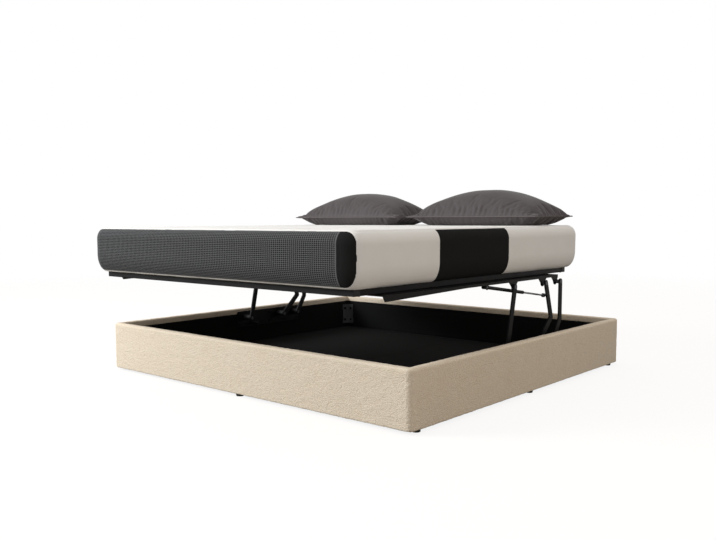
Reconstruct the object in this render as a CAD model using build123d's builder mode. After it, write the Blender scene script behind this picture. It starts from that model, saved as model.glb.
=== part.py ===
from build123d import *
import os
from math import atan2, cos, degrees, hypot, radians, sin

os.makedirs("parts", exist_ok=True)

# An upholstered storage bed with its mattress raised on two side linkages.
# The origin is on the floor at the middle of the base. +X is the right side, +Y the head end, +Z up.
# All sizes are in millimetres.

# Base box: its width follows from the mattress and the lift, its length from the mattress
end_gap = 10
glide_height = 15
rail_height = 267
cover_thickness = 11
board_thickness = 25
lining_thickness = 4
turn_in_depth = 36
corner_radius = 30
outer_edge_radius = 14
inner_edge_radius = 9
mitre_depth = 150

# Storage floor
cleat_width = 20
cleat_height = 21
floor_thickness = 9
floor_clearance = 1
bearer_width = 70
bearer_pitch = 640
glide_radius = 20
glide_chamfer = 2
glide_corner_inset = 80
glide_row_x = 500

# Corner brackets and bolts of the base
bracket_leg = 60
bracket_height = 150
bracket_thickness = 4
bracket_bottom = 70
bracket_bolt_offset = 38
bracket_bolt_edge = 30
bolt_radius = 4
bolt_head_radius = 8
bolt_head_height = 4
bolt_depth = 18
hole_clearance = 0.2

# Mattress and pillows
mattress_width = 1930
mattress_length = 2030
mattress_height = 245
mattress_corner_radius = 95
mattress_edge_draw = 24
mattress_band_draw = 5
mattress_edge_band = 36
pillow_width = 880
pillow_depth = 450
pillow_height = 205
pillow_seam_height = 52
pillow_side_draw = 26
pillow_crest_shift = 40
pillow_x = 485
pillow_head_gap = 2

# Lift: equal parallel links that swing from the raised to the closed angle above the horizontal
lift_height = 402
link_open_angle = 78
link_closed_angle = -15
closed_mattress_height = 205
front_pin_y = 0
rear_pin_y = 320
stay_pin_y = 470
pin_drop = 37
link_width = 34
link_thickness = 8
link_gap = 3.5
pin_radius = 8
running_clearance = 0.05
press_clearance = 0.02
side_play = 0.3
pin_cap_radius = 11
pin_cap_thickness = 1.2

# Bends of the rear link and the stay link, measured back from their upper pins
rear_bend_forward = 66
rear_bend_drop = 192
stay_bend_forward = 0
stay_bend_drop = 205

# Base plates of the lift
plate_thickness = 6
plate_gap = 49
plate_rise = 40
plate_drop = 66
plate_corner = 12
plate_end_margin = 60
boss_radius = 19
boss_gap = 0.5
stop_radius = 9
stop_reach = 70
plate_bolt_rise = 14
plate_bolt_drop = 48
plate_bolt_inset = 20

# Upper arms, bolted under the platform
arm_thickness = 4
arm_clearance = 1.5
arm_foot_y = -1090
arm_head_margin = 32
arm_strip_depth = 13
wedge_depth = 28
wedge_end_y = -450
wedge_nose = 18
gusset_radius = 19
gusset_spread = 44
arm_bolt_pitch = 298
arm_bolt_count = 5
pin_head_radius = 12

# Gas springs
spring_foot_y = -260
spring_foot_drop = 21
spring_knob_forward = 50
spring_knob_drop = 73
spring_center_inset = 16.5
spring_radius = 9
spring_wall = 1.5
spring_tube_length = 400
spring_neck = 9
spring_foot_plug = 5
spring_rod_guide = 12
rod_radius = 5
rod_engagement = 70
eye_radius = 11
eye_thickness = 14
stud_radius = 5
stud_head_radius = 8
stud_head_thickness = 2
knob_thickness = 3
lug_radius = 14

# Platform frame and slats
platform_inset = 57
tube_width = 40
tube_height = 30
tube_wall = 2
tube_corner = 3
cross_tube_height = 15
cross_tube_pitch = 640
slat_count = 13
slat_width = 62
slat_thickness = 10
slat_top_gap = 2
slat_edge_radius = 4
cap_length = 30
cap_grip = 22
cap_wall = 2
cap_clearance = 0.2

# Places across the bed, from the side of the mattress outwards to the side of the base
arm_x = mattress_width / 2 + arm_clearance
first_link_x = arm_x + arm_thickness + link_gap
link_x = [first_link_x + row * (link_thickness + link_gap) for row in range(3)]
plate_x = link_x[-1] + link_thickness + plate_gap
inner_x = plate_x + plate_thickness
board_inner_x = inner_x + lining_thickness
board_outer_x = board_inner_x + board_thickness
base_width = 2 * (board_outer_x + cover_thickness)
spring_x = arm_x - spring_center_inset

# Worked-out sizes of the base
inner_y = mattress_length / 2 + end_gap
board_inner_y = inner_y + lining_thickness
board_outer_y = board_inner_y + board_thickness
base_length = 2 * (board_outer_y + cover_thickness)
rim_z = glide_height + rail_height
board_top = rim_z - cover_thickness
board_height = board_top - glide_height
floor_top = glide_height + cleat_height + floor_thickness
turn_in_z = rim_z - turn_in_depth

# Worked-out sizes of the lift
open_angle = radians(link_open_angle)
closed_angle = radians(link_closed_angle)
link_length = lift_height / (sin(open_angle) - sin(closed_angle))
lift_shift = link_length * (cos(closed_angle) - cos(open_angle))
mattress_y = -lift_shift
platform_top = closed_mattress_height + lift_height
platform_bottom = platform_top - tube_height
pin_z = platform_bottom - pin_drop
pivot_z = pin_z - link_length * sin(open_angle)
pivot_back = link_length * cos(open_angle)
pin_rows = (front_pin_y, rear_pin_y, stay_pin_y)

# Worked-out sizes of the platform
platform_half_x = mattress_width / 2 - platform_inset
platform_half_y = mattress_length / 2 - platform_inset
platform_head_y = mattress_y + platform_half_y
platform_foot_y = mattress_y - platform_half_y
tube_middle_z = platform_top - tube_height / 2
side_tube_x = platform_half_x - tube_width / 2

# The planes of the four walls look outwards, with +Z upwards in each
right_wall = Plane.YZ
left_wall = Plane(origin=(0, 0, 0), x_dir=(0, -1, 0), z_dir=(-1, 0, 0))
foot_wall = Plane.XZ
head_wall = Plane(origin=(0, 0, 0), x_dir=(-1, 0, 0), z_dir=(0, 1, 0))


def write(piece, name):
    piece.part.label = name
    export_step(piece.part, f"parts/{name}.step")


def write_pair(right, name):
    with BuildPart() as left:
        mirror(right.part, about=Plane.YZ)
    write(right, f"{name}_right")
    write(left, f"{name}_left")


# Base box: covers of foam and cloth, turned in over the rim, mitred at the corners
def cover_ring():
    with BuildPart() as ring:
        with BuildSketch(Plane.XY.offset(glide_height)):
            RectangleRounded(base_width, base_length, corner_radius)
        extrude(amount=rail_height)
        fillet(ring.edges().group_by(Axis.Z)[-1], outer_edge_radius)
        with BuildSketch(Plane.XY.offset(glide_height)):
            Rectangle(2 * board_outer_x, 2 * board_outer_y)
            Rectangle(2 * board_inner_x, 2 * board_inner_y, mode=Mode.SUBTRACT)
        extrude(amount=board_height, mode=Mode.SUBTRACT)
        with BuildSketch(Plane.XY.offset(glide_height)):
            Rectangle(2 * board_inner_x, 2 * board_inner_y)
        extrude(amount=turn_in_z - glide_height, mode=Mode.SUBTRACT)
        with BuildSketch(Plane.XY.offset(glide_height)):
            Rectangle(2 * inner_x, 2 * inner_y)
        extrude(amount=rail_height, mode=Mode.SUBTRACT)
        rim_edges = ring.edges().filter_by(GeomType.LINE).group_by(Axis.Z)[-1]
        inner_rim = rim_edges.filter_by(
            lambda edge: abs(edge.center().X) < inner_x + 1 and abs(edge.center().Y) < inner_y + 1
        )
        fillet(inner_rim, inner_edge_radius)
    return ring


def mitred_cover(ring, name, turn, half_width, half_length):
    with BuildPart() as cover:
        add(ring.part)
        with BuildSketch(Plane.XY.rotated((0, 0, turn))):
            with BuildLine():
                Polyline(
                    (-half_width, -half_length),
                    (half_width, -half_length),
                    (half_width - mitre_depth, mitre_depth - half_length),
                    (mitre_depth - half_width, mitre_depth - half_length),
                    close=True,
                )
            make_face()
        extrude(amount=rim_z, mode=Mode.INTERSECT)
    write(cover, name)


def covers():
    ring = cover_ring()
    half_x = base_width / 2
    half_y = base_length / 2
    mitred_cover(ring, "cover_foot", 0, half_x, half_y)
    mitred_cover(ring, "cover_right", 90, half_y, half_x)
    mitred_cover(ring, "cover_head", 180, half_x, half_y)
    mitred_cover(ring, "cover_left", 270, half_y, half_x)


# Bolt places: along Y and Z on the side rails, along X and Z on the end rails
bracket_bolt_z = [bracket_bottom + bracket_bolt_edge, bracket_bottom + bracket_height - bracket_bolt_edge]
corner_bolts_y = [
    (end * (inner_y - bracket_bolt_offset), z) for end in (-1, 1) for z in bracket_bolt_z
]
corner_bolts_x = [
    (end * (inner_x - bracket_bolt_offset), z) for end in (-1, 1) for z in bracket_bolt_z
]
plate_foot_y = front_pin_y - pivot_back - plate_end_margin
plate_head_y = stay_pin_y - pivot_back + plate_end_margin
plate_middle_y = (plate_foot_y + plate_head_y) / 2
plate_bolts = [
    (y, z)
    for y in (plate_foot_y + plate_bolt_inset, plate_middle_y, plate_head_y - plate_bolt_inset)
    for z in (pivot_z - plate_bolt_drop, pivot_z + plate_bolt_rise)
]


def boards():
    with BuildPart() as side:
        with BuildSketch(right_wall.offset(board_inner_x)):
            with Locations((0, glide_height + board_height / 2)):
                Rectangle(2 * board_inner_y, board_height)
        extrude(amount=board_thickness)
        with BuildSketch(right_wall.offset(board_inner_x)):
            with Locations(corner_bolts_y + plate_bolts):
                Circle(bolt_radius + hole_clearance)
        extrude(amount=bolt_depth, mode=Mode.SUBTRACT)
    write_pair(side, "board")
    for name, plane in (("board_foot", foot_wall), ("board_head", head_wall)):
        with BuildPart() as end:
            with BuildSketch(plane.offset(board_inner_y)):
                with Locations((0, glide_height + board_height / 2)):
                    Rectangle(2 * board_outer_x, board_height)
            extrude(amount=board_thickness)
            with BuildSketch(plane.offset(board_inner_y)):
                with Locations(corner_bolts_x):
                    Circle(bolt_radius + hole_clearance)
            extrude(amount=bolt_depth, mode=Mode.SUBTRACT)
        write(end, name)


def linings():
    lining_height = turn_in_z - floor_top
    lining_middle = (turn_in_z + floor_top) / 2
    with BuildPart() as side:
        with BuildSketch(right_wall.offset(inner_x)):
            with Locations((0, lining_middle)):
                Rectangle(2 * inner_y, lining_height)
            with Locations(corner_bolts_y + plate_bolts):
                Circle(bolt_radius + hole_clearance, mode=Mode.SUBTRACT)
        extrude(amount=lining_thickness)
    write_pair(side, "lining")
    for name, plane in (("lining_foot", foot_wall), ("lining_head", head_wall)):
        with BuildPart() as end:
            with BuildSketch(plane.offset(inner_y)):
                with Locations((0, lining_middle)):
                    Rectangle(2 * board_inner_x, lining_height)
                with Locations(corner_bolts_x):
                    Circle(bolt_radius + hole_clearance, mode=Mode.SUBTRACT)
            extrude(amount=lining_thickness)
        write(end, name)


# Storage floor: cleats round the inside, bearers across, two panels and the glides below
def floor_frame():
    with BuildPart() as cleats:
        with BuildSketch(Plane.XY.offset(glide_height)):
            with Locations((board_inner_x - cleat_width / 2, 0), (cleat_width / 2 - board_inner_x, 0)):
                Rectangle(cleat_width, 2 * board_inner_y)
            with Locations((0, board_inner_y - cleat_width / 2), (0, cleat_width / 2 - board_inner_y)):
                Rectangle(2 * (board_inner_x - cleat_width - floor_clearance), cleat_width)
        extrude(amount=cleat_height)
    write(cleats, "floor_cleats")
    with BuildPart() as bearers:
        with BuildSketch(Plane.XY.offset(glide_height)):
            with GridLocations(0, bearer_pitch, 1, 3):
                Rectangle(2 * (board_inner_x - cleat_width), bearer_width)
        extrude(amount=cleat_height)
    write(bearers, "floor_bearers")
    with BuildPart() as panel:
        with BuildSketch(Plane.XY.offset(floor_top - floor_thickness)):
            with Locations((board_inner_x / 2, 0)):
                Rectangle(board_inner_x - 2 * floor_clearance, 2 * (board_inner_y - floor_clearance))
        extrude(amount=floor_thickness)
    write_pair(panel, "floor_panel")


def glides():
    side_x = board_inner_x + (board_thickness - cleat_width) / 2
    end_y = board_inner_y + (board_thickness - cleat_width) / 2
    corner_y = base_length / 2 - glide_corner_inset
    places = [(x, y) for x in (-side_x, side_x) for y in (-corner_y, 0, corner_y)]
    places += [(0, -end_y), (0, end_y)]
    places += [(x, row * bearer_pitch) for x in (-glide_row_x, 0, glide_row_x) for row in (-1, 0, 1)]
    with BuildPart() as pads:
        with BuildSketch(Plane.XY):
            with Locations(places):
                Circle(glide_radius)
        extrude(amount=glide_height)
        chamfer(pads.edges().group_by(Axis.Z)[0], glide_chamfer)
    write(pads, "glides")


def corner_brackets():
    with BuildPart() as brackets:
        with BuildSketch(Plane.XY.offset(bracket_bottom)):
            for x in (-1, 1):
                for y in (-1, 1):
                    with BuildLine():
                        Polyline(
                            (x * inner_x, y * inner_y),
                            (x * (inner_x - bracket_leg), y * inner_y),
                            (x * (inner_x - bracket_leg), y * (inner_y - bracket_thickness)),
                            (x * (inner_x - bracket_thickness), y * (inner_y - bracket_thickness)),
                            (x * (inner_x - bracket_thickness), y * (inner_y - bracket_leg)),
                            (x * inner_x, y * (inner_y - bracket_leg)),
                            close=True,
                        )
                    make_face()
        extrude(amount=bracket_height)
        with BuildSketch(Plane.YZ.offset(-inner_x)):
            with Locations(corner_bolts_y):
                Circle(bolt_radius + hole_clearance)
        extrude(amount=2 * inner_x, mode=Mode.SUBTRACT)
        with BuildSketch(Plane.XZ.offset(-inner_y)):
            with Locations(corner_bolts_x):
                Circle(bolt_radius + hole_clearance)
        extrude(amount=2 * inner_y, mode=Mode.SUBTRACT)
    write(brackets, "corner_brackets")


# Bolts lie along the normal of a wall plane: a head inside the box and a shank into the board
def bolts_into(plane, places, seat, depth):
    with BuildPart() as bolts:
        with BuildSketch(plane.offset(seat)):
            with Locations(places):
                Circle(bolt_head_radius)
        extrude(amount=-bolt_head_height)
        with BuildSketch(plane.offset(seat)):
            with Locations(places):
                Circle(bolt_radius)
        extrude(amount=depth)
    return bolts


def base_bolts():
    shank = bracket_thickness + lining_thickness + bolt_depth - floor_clearance
    seat_x = inner_x - bracket_thickness
    seat_y = inner_y - bracket_thickness
    groups = [bolts_into(wall, corner_bolts_y, seat_x, shank) for wall in (right_wall, left_wall)]
    groups += [bolts_into(wall, corner_bolts_x, seat_y, shank) for wall in (foot_wall, head_wall)]
    with BuildPart() as corner:
        for group in groups:
            add(group.part)
    write(corner, "corner_bolts")
    plate_shank = plate_thickness + lining_thickness + bolt_depth - floor_clearance
    write_pair(bolts_into(right_wall, plate_bolts, plate_x, plate_shank), "plate_bolts")


# Lift: base plates with bosses and a closing stop, pins, three links each side
def base_plates():
    stop_y = front_pin_y - pivot_back + stop_reach * cos(closed_angle)
    stop_z = pivot_z + stop_reach * sin(closed_angle)
    stop_off = link_width / 2 + stop_radius + side_play
    with BuildPart() as plate:
        with BuildSketch(Plane.YZ.offset(plate_x)):
            with Locations((plate_middle_y, pivot_z + (plate_rise - plate_drop) / 2)):
                RectangleRounded(plate_head_y - plate_foot_y, plate_rise + plate_drop, plate_corner)
            with Locations(plate_bolts):
                Circle(bolt_radius + hole_clearance, mode=Mode.SUBTRACT)
        extrude(amount=plate_thickness)
        for pin_y, x in zip(pin_rows, link_x):
            boss_x = x + link_thickness + boss_gap
            with BuildSketch(Plane.YZ.offset(boss_x)):
                with Locations((pin_y - pivot_back, pivot_z)):
                    Circle(boss_radius)
            extrude(amount=plate_x - boss_x)
        for pin_y, x in zip(pin_rows, link_x):
            with BuildSketch(Plane.YZ.offset(x)):
                with Locations((pin_y - pivot_back, pivot_z)):
                    Circle(pin_radius + press_clearance)
            extrude(amount=inner_x - x, mode=Mode.SUBTRACT)
        with BuildSketch(Plane.YZ.offset(link_x[0])):
            with Locations((stop_y + stop_off * sin(closed_angle), stop_z - stop_off * cos(closed_angle))):
                Circle(stop_radius)
        extrude(amount=plate_x - link_x[0])
    write_pair(plate, "base_plate")


# Pins and studs lie along X: each ring of one has its start, its length and its radius
def turned(y, z, rings):
    with BuildPart() as piece:
        for start, length, radius in rings:
            with BuildSketch(Plane.YZ.offset(start)):
                with Locations((y, z)):
                    Circle(radius)
            extrude(amount=length)
    return piece


def write_pins(pins, name):
    with BuildPart() as group:
        for pin in pins:
            add(pin.part)
    write_pair(group, name)


def base_pins():
    pins = []
    for pin_y, x in zip(pin_rows, link_x):
        cap_x = x - side_play - pin_cap_thickness
        rings = (
            (cap_x, pin_cap_thickness, pin_cap_radius),
            (cap_x, inner_x - cap_x, pin_radius),
        )
        pins.append(turned(pin_y - pivot_back, pivot_z, rings))
    write_pins(pins, "base_pins")


def link(name, row, bend):
    bottom = (pin_rows[row] - pivot_back, pivot_z)
    top = (pin_rows[row], pin_z)
    path = [bottom, top]
    if bend:
        path.insert(1, (pin_rows[row] + bend[0], pin_z - bend[1]))
    with BuildPart() as plate:
        with BuildSketch(Plane.YZ.offset(link_x[row])):
            for start, end in zip(path, path[1:]):
                run = hypot(end[0] - start[0], end[1] - start[1])
                slope = degrees(atan2(end[1] - start[1], end[0] - start[0]))
                with Locations(((start[0] + end[0]) / 2, (start[1] + end[1]) / 2)):
                    SlotCenterToCenter(run, link_width, rotation=slope)
            with Locations(bottom, top):
                Circle(pin_radius + running_clearance, mode=Mode.SUBTRACT)
        extrude(amount=link_thickness)
    write_pair(plate, name)


def links():
    link("front_link", 0, None)
    link("rear_link", 1, (rear_bend_forward, rear_bend_drop))
    link("stay_link", 2, (stay_bend_forward, stay_bend_drop))


# Upper arms: a flange under the side tube, a tapered skirt with gussets at the pins
arm_head_y = stay_pin_y + arm_head_margin
flange_inner_x = platform_half_x - tube_width
arm_bolt_rows = [arm_foot_y + (step + 0.5) * arm_bolt_pitch for step in range(arm_bolt_count)]
spring_foot_z = platform_bottom - spring_foot_drop


def arms():
    strip_z = platform_bottom - arm_strip_depth
    with BuildPart() as arm:
        with BuildSketch(Plane.YZ.offset(arm_x)):
            with BuildLine():
                Polyline(
                    (arm_foot_y, platform_bottom),
                    (arm_foot_y + wedge_nose, platform_bottom - wedge_depth),
                    (wedge_end_y, strip_z),
                    (arm_head_y, strip_z),
                    (arm_head_y, platform_bottom),
                    close=True,
                )
            make_face()
            for pin_y in pin_rows:
                with BuildLine():
                    Polyline(
                        (pin_y - gusset_spread, strip_z),
                        (pin_y - gusset_radius, pin_z),
                        (pin_y + gusset_radius, pin_z),
                        (min(pin_y + gusset_spread, arm_head_y), strip_z),
                        close=True,
                    )
                make_face()
                with Locations((pin_y, pin_z)):
                    Circle(gusset_radius)
            with Locations((spring_foot_y, spring_foot_z)):
                Circle(lug_radius)
                Circle(stud_radius + press_clearance, mode=Mode.SUBTRACT)
            with Locations([(pin_y, pin_z) for pin_y in pin_rows]):
                Circle(pin_radius + press_clearance, mode=Mode.SUBTRACT)
        extrude(amount=arm_thickness)
        with BuildSketch(Plane.XY.offset(platform_bottom - arm_thickness)):
            with Locations(((flange_inner_x + arm_x) / 2, (arm_foot_y + arm_head_y) / 2)):
                Rectangle(arm_x - flange_inner_x, arm_head_y - arm_foot_y)
            with Locations([(side_tube_x, y) for y in arm_bolt_rows]):
                Circle(bolt_radius + hole_clearance, mode=Mode.SUBTRACT)
        extrude(amount=arm_thickness)
    write_pair(arm, "lift_arm")


def arm_pins():
    head_x = arm_x - arm_thickness
    collar_x = arm_x + arm_thickness
    pins = []
    for pin_y, x in zip(pin_rows, link_x):
        cap_x = x + link_thickness + side_play
        rings = (
            (head_x, arm_thickness, pin_head_radius),
            (head_x, cap_x + pin_cap_thickness - head_x, pin_radius),
            (collar_x, x - side_play - collar_x, pin_cap_radius),
            (cap_x, pin_cap_thickness, pin_cap_radius),
        )
        pins.append(turned(pin_y, pin_z, rings))
    write_pins(pins, "arm_pins")


def arm_bolts():
    steps = (
        (-bolt_head_height, bolt_head_radius),
        (arm_thickness + tube_wall, bolt_radius),
    )
    with BuildPart() as bolts:
        for height, radius in steps:
            with BuildSketch(Plane.XY.offset(platform_bottom - arm_thickness)):
                with Locations([(side_tube_x, y) for y in arm_bolt_rows]):
                    Circle(radius)
            extrude(amount=height)
    write_pair(bolts, "arm_bolts")


# Gas springs: a tube hinged on the arm, a rod that slides in it and ends beside the rear link
def gas_springs():
    knob_y = rear_pin_y + spring_knob_forward
    knob_z = pin_z - spring_knob_drop
    reach_y = knob_y - spring_foot_y
    reach_z = knob_z - spring_foot_z
    reach = hypot(reach_y, reach_z)
    along = (0, reach_y / reach, reach_z / reach)
    foot = Plane(origin=(spring_x, spring_foot_y, spring_foot_z), x_dir=(1, 0, 0), z_dir=along)
    eye_x = spring_x - eye_thickness / 2
    bore_start = spring_neck + spring_foot_plug
    with BuildPart() as tube:
        with BuildSketch(Plane.YZ.offset(eye_x)):
            with Locations((spring_foot_y, spring_foot_z)):
                Circle(eye_radius)
        extrude(amount=eye_thickness)
        with BuildSketch(foot.offset(spring_neck)):
            Circle(spring_radius)
        extrude(amount=spring_tube_length - spring_neck)
        with BuildSketch(foot.offset(bore_start)):
            Circle(spring_radius - spring_wall)
        extrude(amount=spring_tube_length - bore_start - spring_rod_guide, mode=Mode.SUBTRACT)
        with BuildSketch(foot.offset(bore_start)):
            Circle(rod_radius + running_clearance)
        extrude(amount=spring_tube_length, mode=Mode.SUBTRACT)
        with BuildSketch(Plane.YZ.offset(eye_x)):
            with Locations((spring_foot_y, spring_foot_z)):
                Circle(stud_radius + running_clearance)
        extrude(amount=eye_thickness, mode=Mode.SUBTRACT)
    write_pair(tube, "spring_tube")
    stud_x = eye_x - side_play
    foot_rings = (
        (stud_x - stud_head_thickness, stud_head_thickness, stud_head_radius),
        (stud_x, arm_x + arm_thickness - stud_x, stud_radius),
    )
    write_pair(turned(spring_foot_y, spring_foot_z, foot_rings), "spring_foot_stud")
    with BuildPart() as rod:
        with BuildSketch(foot.offset(spring_tube_length - rod_engagement)):
            Circle(rod_radius)
        extrude(amount=reach - spring_tube_length + rod_engagement)
        with BuildSketch(Plane.YZ.offset(eye_x)):
            with Locations((knob_y, knob_z)):
                Circle(eye_radius)
        extrude(amount=eye_thickness)
        with BuildSketch(Plane.YZ.offset(eye_x)):
            with Locations((knob_y, knob_z)):
                Circle(stud_radius + press_clearance)
        extrude(amount=eye_thickness, mode=Mode.SUBTRACT)
    write_pair(rod, "spring_rod")
    knob_end_x = link_x[1] - side_play
    knob_rings = (
        (eye_x - knob_thickness, knob_thickness, stud_head_radius),
        (eye_x, knob_end_x - eye_x, stud_radius),
        (first_link_x, knob_end_x - first_link_x, stud_head_radius),
    )
    write_pair(turned(knob_y, knob_z, knob_rings), "spring_knob")


# Platform: welded rectangular tubes, slats in plastic caps
def frame_tube(start, across, along, length):
    with BuildPart() as tube:
        with BuildSketch(Plane(origin=start, x_dir=across, z_dir=along)):
            RectangleRounded(tube_width, tube_height, tube_corner)
            RectangleRounded(
                tube_width - 2 * tube_wall,
                tube_height - 2 * tube_wall,
                tube_corner - tube_wall,
                mode=Mode.SUBTRACT,
            )
        extrude(amount=length)
    return tube


def platform_frame():
    foot_inner_y = platform_foot_y + tube_width
    inner_run = 2 * (platform_half_y - tube_width)
    along_x = (1, 0, 0)
    along_y = (0, 1, 0)
    side = frame_tube((side_tube_x, foot_inner_y, tube_middle_z), along_x, along_y, inner_run)
    with BuildPart() as drilled:
        add(side.part)
        with BuildSketch(Plane.XY.offset(platform_bottom)):
            with Locations([(side_tube_x, y) for y in arm_bolt_rows]):
                Circle(bolt_radius + hole_clearance)
        extrude(amount=tube_wall, mode=Mode.SUBTRACT)
    write_pair(drilled, "platform_side_tube")
    ends = (
        ("platform_foot_tube", platform_foot_y + tube_width / 2),
        ("platform_head_tube", platform_head_y - tube_width / 2),
    )
    for name, y in ends:
        write(frame_tube((-platform_half_x, y, tube_middle_z), along_y, along_x, 2 * platform_half_x), name)
    write(frame_tube((0, foot_inner_y, tube_middle_z), along_x, along_y, inner_run), "platform_centre_beam")


def cross_tubes():
    cross_z = platform_bottom + cross_tube_height / 2
    cross_run = side_tube_x - tube_width
    with BuildPart() as cross:
        for row in (-1, 0, 1):
            origin = (tube_width / 2, mattress_y + row * cross_tube_pitch, cross_z)
            with BuildSketch(Plane(origin=origin, x_dir=(0, 1, 0), z_dir=(1, 0, 0))):
                Rectangle(tube_width, cross_tube_height)
                offset(amount=-tube_wall, mode=Mode.SUBTRACT)
            extrude(amount=cross_run)
    write_pair(cross, "cross_tubes")


def slats():
    slat_pitch = 2 * (platform_half_y - tube_width) / slat_count
    slat_z = platform_top - slat_top_gap - slat_thickness / 2
    cap_height = slat_thickness + 2 * slat_top_gap
    bay_start = tube_width / 2
    bay_end = side_tube_x - tube_width / 2
    bay_middle = (bay_start + bay_end) / 2
    slat_run = bay_end - bay_start - 2 * (cap_length - cap_grip)
    slat_rows = [mattress_y + (row - (slat_count - 1) / 2) * slat_pitch for row in range(slat_count)]
    with BuildPart() as slat_boards:
        with BuildSketch(Plane.YZ.offset(bay_middle - slat_run / 2)):
            with Locations([(y, slat_z) for y in slat_rows]):
                RectangleRounded(slat_width, slat_thickness, slat_edge_radius)
        extrude(amount=slat_run)
    write_pair(slat_boards, "slats")
    pocket_width = slat_width + 2 * cap_clearance
    pocket_height = slat_thickness + 2 * cap_clearance
    cap_places = (
        (bay_start, bay_start + cap_length - cap_grip),
        (bay_end - cap_length, bay_end - cap_length),
    )
    with BuildPart() as caps:
        for cap_x, pocket_x in cap_places:
            with BuildSketch(Plane.YZ.offset(cap_x)):
                with Locations([(y, slat_z) for y in slat_rows]):
                    RectangleRounded(pocket_width + 2 * cap_wall, cap_height, slat_edge_radius)
            extrude(amount=cap_length)
            with BuildSketch(Plane.YZ.offset(pocket_x)):
                with Locations([(y, slat_z) for y in slat_rows]):
                    RectangleRounded(pocket_width, pocket_height, slat_edge_radius)
            extrude(amount=cap_grip, mode=Mode.SUBTRACT)
    write_pair(caps, "slat_caps")


# Mattress: a rounded block whose sides bulge and draw in at the top and bottom edges
def mattress():
    sections = (
        (0, mattress_edge_draw),
        (mattress_edge_band, mattress_band_draw),
        (mattress_height / 2, 0),
        (mattress_height - mattress_edge_band, mattress_band_draw),
        (mattress_height, mattress_edge_draw),
    )
    with BuildPart() as block:
        for height, draw in sections:
            with BuildSketch(Plane.XY.offset(platform_top + height)):
                with Locations((0, mattress_y)):
                    RectangleRounded(
                        mattress_width - 2 * draw, mattress_length - 2 * draw, mattress_corner_radius - draw
                    )
        loft()
    write(block, "mattress")


# Pillow section: four arcs between its corners, hollow at the seam and full above and below
def pillow_section(height, center_y, corner, side, end):
    corners = [(-1, -1), (1, -1), (1, 1), (-1, 1)]
    half_width = pillow_width / 2
    half_depth = pillow_depth / 2
    with BuildSketch(Plane.XY.offset(platform_top + mattress_height + height)) as section:
        with BuildLine():
            for (ax, ay), (bx, by) in zip(corners, corners[1:] + corners[:1]):
                middle_x = (ax + bx) / 2 * end * (half_width - pillow_side_draw)
                middle_y = (ay + by) / 2 * side * (half_depth - pillow_side_draw)
                ThreePointArc(
                    (pillow_x + ax * corner * half_width, center_y + ay * corner * half_depth),
                    (pillow_x + middle_x, center_y + middle_y),
                    (pillow_x + bx * corner * half_width, center_y + by * corner * half_depth),
                )
        make_face()
    return section.sketch


# A pillow rises from its sewn edge as a dome and rests on a flat patch below it.
# Each level has its height and how far its corners, sides and ends reach, as shares
def pillows():
    seam_y = mattress_y + mattress_length / 2 - pillow_head_gap - pillow_depth / 2
    seam_level = pillow_seam_height / pillow_height
    levels = (
        (0, 0.64, 0.85, 0.78),
        (seam_level / 2, 0.85, 0.98, 0.95),
        (seam_level, 1, 1, 1),
        (0.48, 0.8, 0.95, 0.91),
        (0.7, 0.59, 0.8, 0.72),
        (0.89, 0.36, 0.53, 0.46),
        (1, 0.12, 0.2, 0.16),
    )
    sections = []
    for level, corner, side, end in levels:
        crest = max(level - seam_level, 0) / (1 - seam_level)
        center_y = seam_y + crest * pillow_crest_shift
        sections.append(pillow_section(level * pillow_height, center_y, corner, side, end))
    with BuildPart() as cushion:
        loft(sections)
    write_pair(cushion, "pillow")


covers()
boards()
linings()
floor_frame()
glides()
corner_brackets()
base_bolts()
base_plates()
base_pins()
links()
arms()
arm_pins()
arm_bolts()
gas_springs()
platform_frame()
cross_tubes()
slats()
mattress()
pillows()
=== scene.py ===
"""The looks of an upholstered storage bed with its mattress raised on two side linkages."""
import bpy
import numpy as np
from math import cos, pi, radians, sin
from mathutils import Matrix, Vector, noise


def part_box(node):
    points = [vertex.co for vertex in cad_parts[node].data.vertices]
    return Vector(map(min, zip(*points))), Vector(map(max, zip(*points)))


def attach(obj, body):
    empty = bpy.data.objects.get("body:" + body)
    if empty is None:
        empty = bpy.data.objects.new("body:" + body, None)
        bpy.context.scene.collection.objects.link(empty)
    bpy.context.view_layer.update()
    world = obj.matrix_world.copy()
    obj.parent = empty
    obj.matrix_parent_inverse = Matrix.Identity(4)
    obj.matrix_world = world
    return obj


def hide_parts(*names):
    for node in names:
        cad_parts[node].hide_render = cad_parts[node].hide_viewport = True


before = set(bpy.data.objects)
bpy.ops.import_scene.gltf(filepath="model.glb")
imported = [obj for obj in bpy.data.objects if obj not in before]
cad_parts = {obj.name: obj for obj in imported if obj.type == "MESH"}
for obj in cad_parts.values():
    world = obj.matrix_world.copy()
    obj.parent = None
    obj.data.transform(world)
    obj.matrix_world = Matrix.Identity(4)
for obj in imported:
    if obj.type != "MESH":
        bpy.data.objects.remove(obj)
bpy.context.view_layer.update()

# Sizes in metres. The CAD nodes give the places, and these are the forms within them.
COVER_STEP = 0.004
COVER_THICKNESS = 0.011
BOARD_DEPTH = 0.036
LINING_DEPTH = 0.040
TURN_IN = 0.036
OUTER_EDGE_RADIUS = 0.014
INNER_EDGE_RADIUS = 0.009
CORNER_RADIUS = 0.030
LEAST_RADIUS = 0.003
HEM_RADIUS = 0.006
FINE_LUMP_HEIGHT, FINE_LUMP_SIZE = 0.0009, 0.011
COARSE_LUMP_HEIGHT, COARSE_LUMP_SIZE = 0.0008, 0.031
LUMP_SINK = 0.0004
MITRE_DEPTH = 0.0003

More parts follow.
